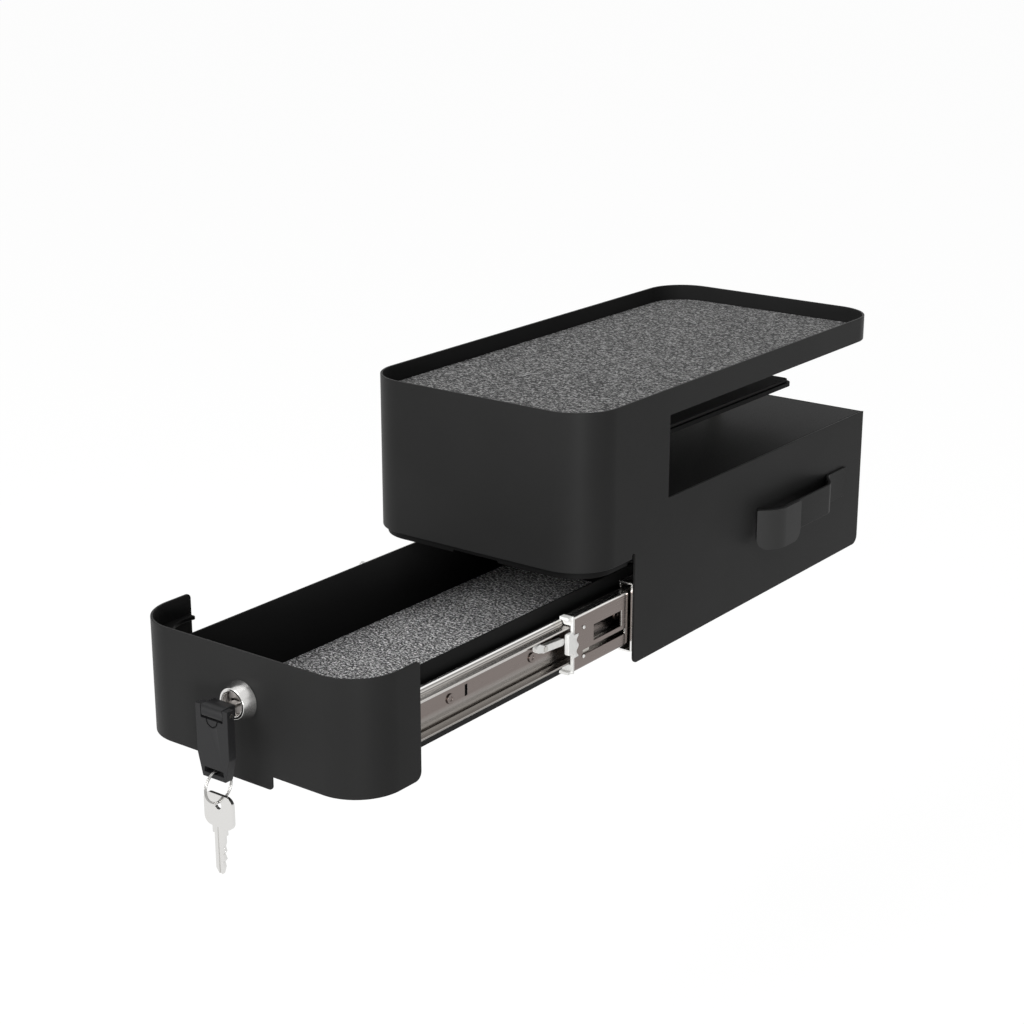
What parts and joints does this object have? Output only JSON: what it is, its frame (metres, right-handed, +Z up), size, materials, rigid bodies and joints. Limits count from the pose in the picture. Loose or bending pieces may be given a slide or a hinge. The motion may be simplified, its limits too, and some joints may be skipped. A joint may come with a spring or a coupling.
{
  "type": "desktop locker",
  "caption": "Lockable steel drawer that hangs under a desk edge, with a felt-lined tray on top, ball slides, a desk clamp, a bag hook and a folding key.",
  "frame": {"origin": "middle of the rubber pads' resting face, where the locker sits on the desk top", "axes": "+Z up, -Y towards the user and the way the drawer opens, +X to the user's right, the side with the hook"},
  "size_m": [0.187, 0.5849, 0.2219],
  "materials": {
    "housing_powder": "fine textured powder coat, satin black",
    "inner_powder": "fine textured powder coat, satin black",
    "tray_felt": "mottled grey needle felt",
    "drawer_felt": "mottled grey needle felt",
    "pad_rubber": "matt black rubber",
    "slide_zinc": "zinc-plated rolled steel",
    "screw_zinc": "zinc-plated steel",
    "cage_steel": "bright stamped strip",
    "ball_steel": "polished steel balls",
    "light_plastic": "light grey moulded plastic",
    "lock_nickel": "nickel-plated die casting",
    "key_plastic": "fine textured black plastic",
    "key_steel": "nickel-plated steel",
    "cover_plastic": "matt dark grey soft plastic"
  },
  "bodies": {
    "housing": {"housing_shell": "housing_powder", "slot_liner": "inner_powder", "tray_floor": "inner_powder", "tray_mat": "tray_felt", "desk_pads": "pad_rubber", "ceiling_pan": "inner_powder", "back_panel": "housing_powder", "slide_outer_left": "slide_zinc", "slide_outer_right": "slide_zinc", "slide_screws": "screw_zinc", "hook_strap": "housing_powder", "hook_cover": "cover_plastic", "clamp_nuts": "screw_zinc"},
    "slide_middle": {"slide_middle_left": "slide_zinc", "slide_middle_right": "slide_zinc", "slide_stop_left": "light_plastic", "slide_stop_right": "light_plastic"},
    "outer_cages": {"ball_cage_outer_left": "cage_steel", "ball_cage_outer_right": "cage_steel", "outer_balls": "ball_steel"},
    "inner_cages": {"ball_cage_inner_left": "cage_steel", "ball_cage_inner_right": "cage_steel", "inner_balls": "ball_steel"},
    "drawer": {"drawer_front": "housing_powder", "drawer_box": "inner_powder", "drawer_mat": "drawer_felt", "corner_plate_left": "inner_powder", "corner_plate_right": "inner_powder", "slide_inner_left": "slide_zinc", "slide_inner_right": "slide_zinc", "drawer_screws": "screw_zinc", "lever_rivets": "screw_zinc", "lock_body": "lock_nickel", "lock_nut": "screw_zinc"},
    "lever_left": {"release_lever_left": "light_plastic"},
    "lever_right": {"release_lever_right": "light_plastic"},
    "lock_core": {"lock_plug": "lock_nickel", "lock_cam": "screw_zinc", "cam_screw": "screw_zinc"},
    "key": {"key_blade": "key_steel", "key_bow": "key_plastic", "key_pin": "key_steel"},
    "key_head": {"key_head": "key_plastic"},
    "key_ring": {"key_ring": "key_steel"},
    "spare_key": {"spare_key": "key_steel"},
    "clamp": {"clamp_plate": "inner_powder", "clamp_pad": "pad_rubber"},
    "screw_front": {"clamp_screw_front": "screw_zinc"},
    "screw_rear": {"clamp_screw_rear": "screw_zinc"}
  },
  "joints": [
    {"name": "slide_extend", "type": "slide", "parent": "housing", "child": "slide_middle", "axis": [0, -1, 0], "range_m": [-0.0572, 0.078]},
    {"name": "outer_cage_roll", "type": "slide", "parent": "housing", "child": "outer_cages", "axis": [0, -1, 0], "range_m": [-0.0288, 0.0392]},
    {"name": "drawer_slide", "type": "slide", "parent": "slide_middle", "child": "drawer", "axis": [0, -1, 0], "range_m": [-0.1433, 0.0015]},
    {"name": "inner_cage_roll", "type": "slide", "parent": "slide_middle", "child": "inner_cages", "axis": [0, -1, 0], "range_m": [-0.0718, 0.0009]},
    {"name": "lever_left_press", "type": "hinge", "parent": "drawer", "child": "lever_left", "pos_m": [-0.0774, -0.24665, -0.1148], "axis": [-1, 0, 0], "range_deg": [0, 8], "stiffness_Nm_per_rad": 0.02, "springref_deg": -5.73},
    {"name": "lever_right_press", "type": "hinge", "parent": "drawer", "child": "lever_right", "pos_m": [0.0774, -0.24665, -0.1148], "axis": [-1, 0, 0], "range_deg": [0, 8], "stiffness_Nm_per_rad": 0.02, "springref_deg": -5.73},
    {"name": "lock_turn", "type": "hinge", "parent": "drawer", "child": "lock_core", "pos_m": [0, -0.40945, -0.1088], "axis": [0, 1, 0], "range_deg": [0, 90]},
    {"name": "key_pull", "type": "slide", "parent": "lock_core", "child": "key", "axis": [0, -1, 0], "range_m": [0, 0.026]},
    {"name": "key_fold", "type": "hinge", "parent": "key", "child": "key_head", "pos_m": [0, -0.43525, -0.1088], "axis": [-1, 0, 0], "range_deg": [0, 90]},
    {"name": "ring_swing", "type": "hinge", "parent": "key_head", "child": "key_ring", "pos_m": [0, -0.43595, -0.143], "axis": [-0.2079, 0.9781, 0], "range_deg": [-25, 25]},
    {"name": "spare_key_swing", "type": "hinge", "parent": "key_ring", "child": "spare_key", "pos_m": [0, -0.43595, -0.1616], "axis": [0, 1, 0], "range_deg": [-30, 30]},
    {"name": "clamp_lift", "type": "slide", "parent": "housing", "child": "clamp", "axis": [0, 0, 1], "range_m": [-0.02, 0.007]},
    {"name": "screw_front_turn", "type": "hinge", "parent": "clamp", "child": "screw_front", "pos_m": [0, -0.06505, -0.0391], "axis": [0, 0, 1], "range_deg": [-5800, 2050]},
    {"name": "screw_rear_turn", "type": "hinge", "parent": "clamp", "child": "screw_rear", "pos_m": [0, 0.06495, -0.0391], "axis": [0, 0, 1], "range_deg": [-5800, 2050]}
  ],
  "couplings": [
    {"joint": "outer_cage_roll", "follows": "slide_extend", "ratio": 0.5},
    {"joint": "inner_cage_roll", "follows": "drawer_slide", "ratio": 0.5},
    {"joint": "screw_front_turn", "follows": "clamp_lift", "rad_per_m": 5026.5},
    {"joint": "screw_rear_turn", "follows": "clamp_lift", "rad_per_m": 5026.5}
  ]
}
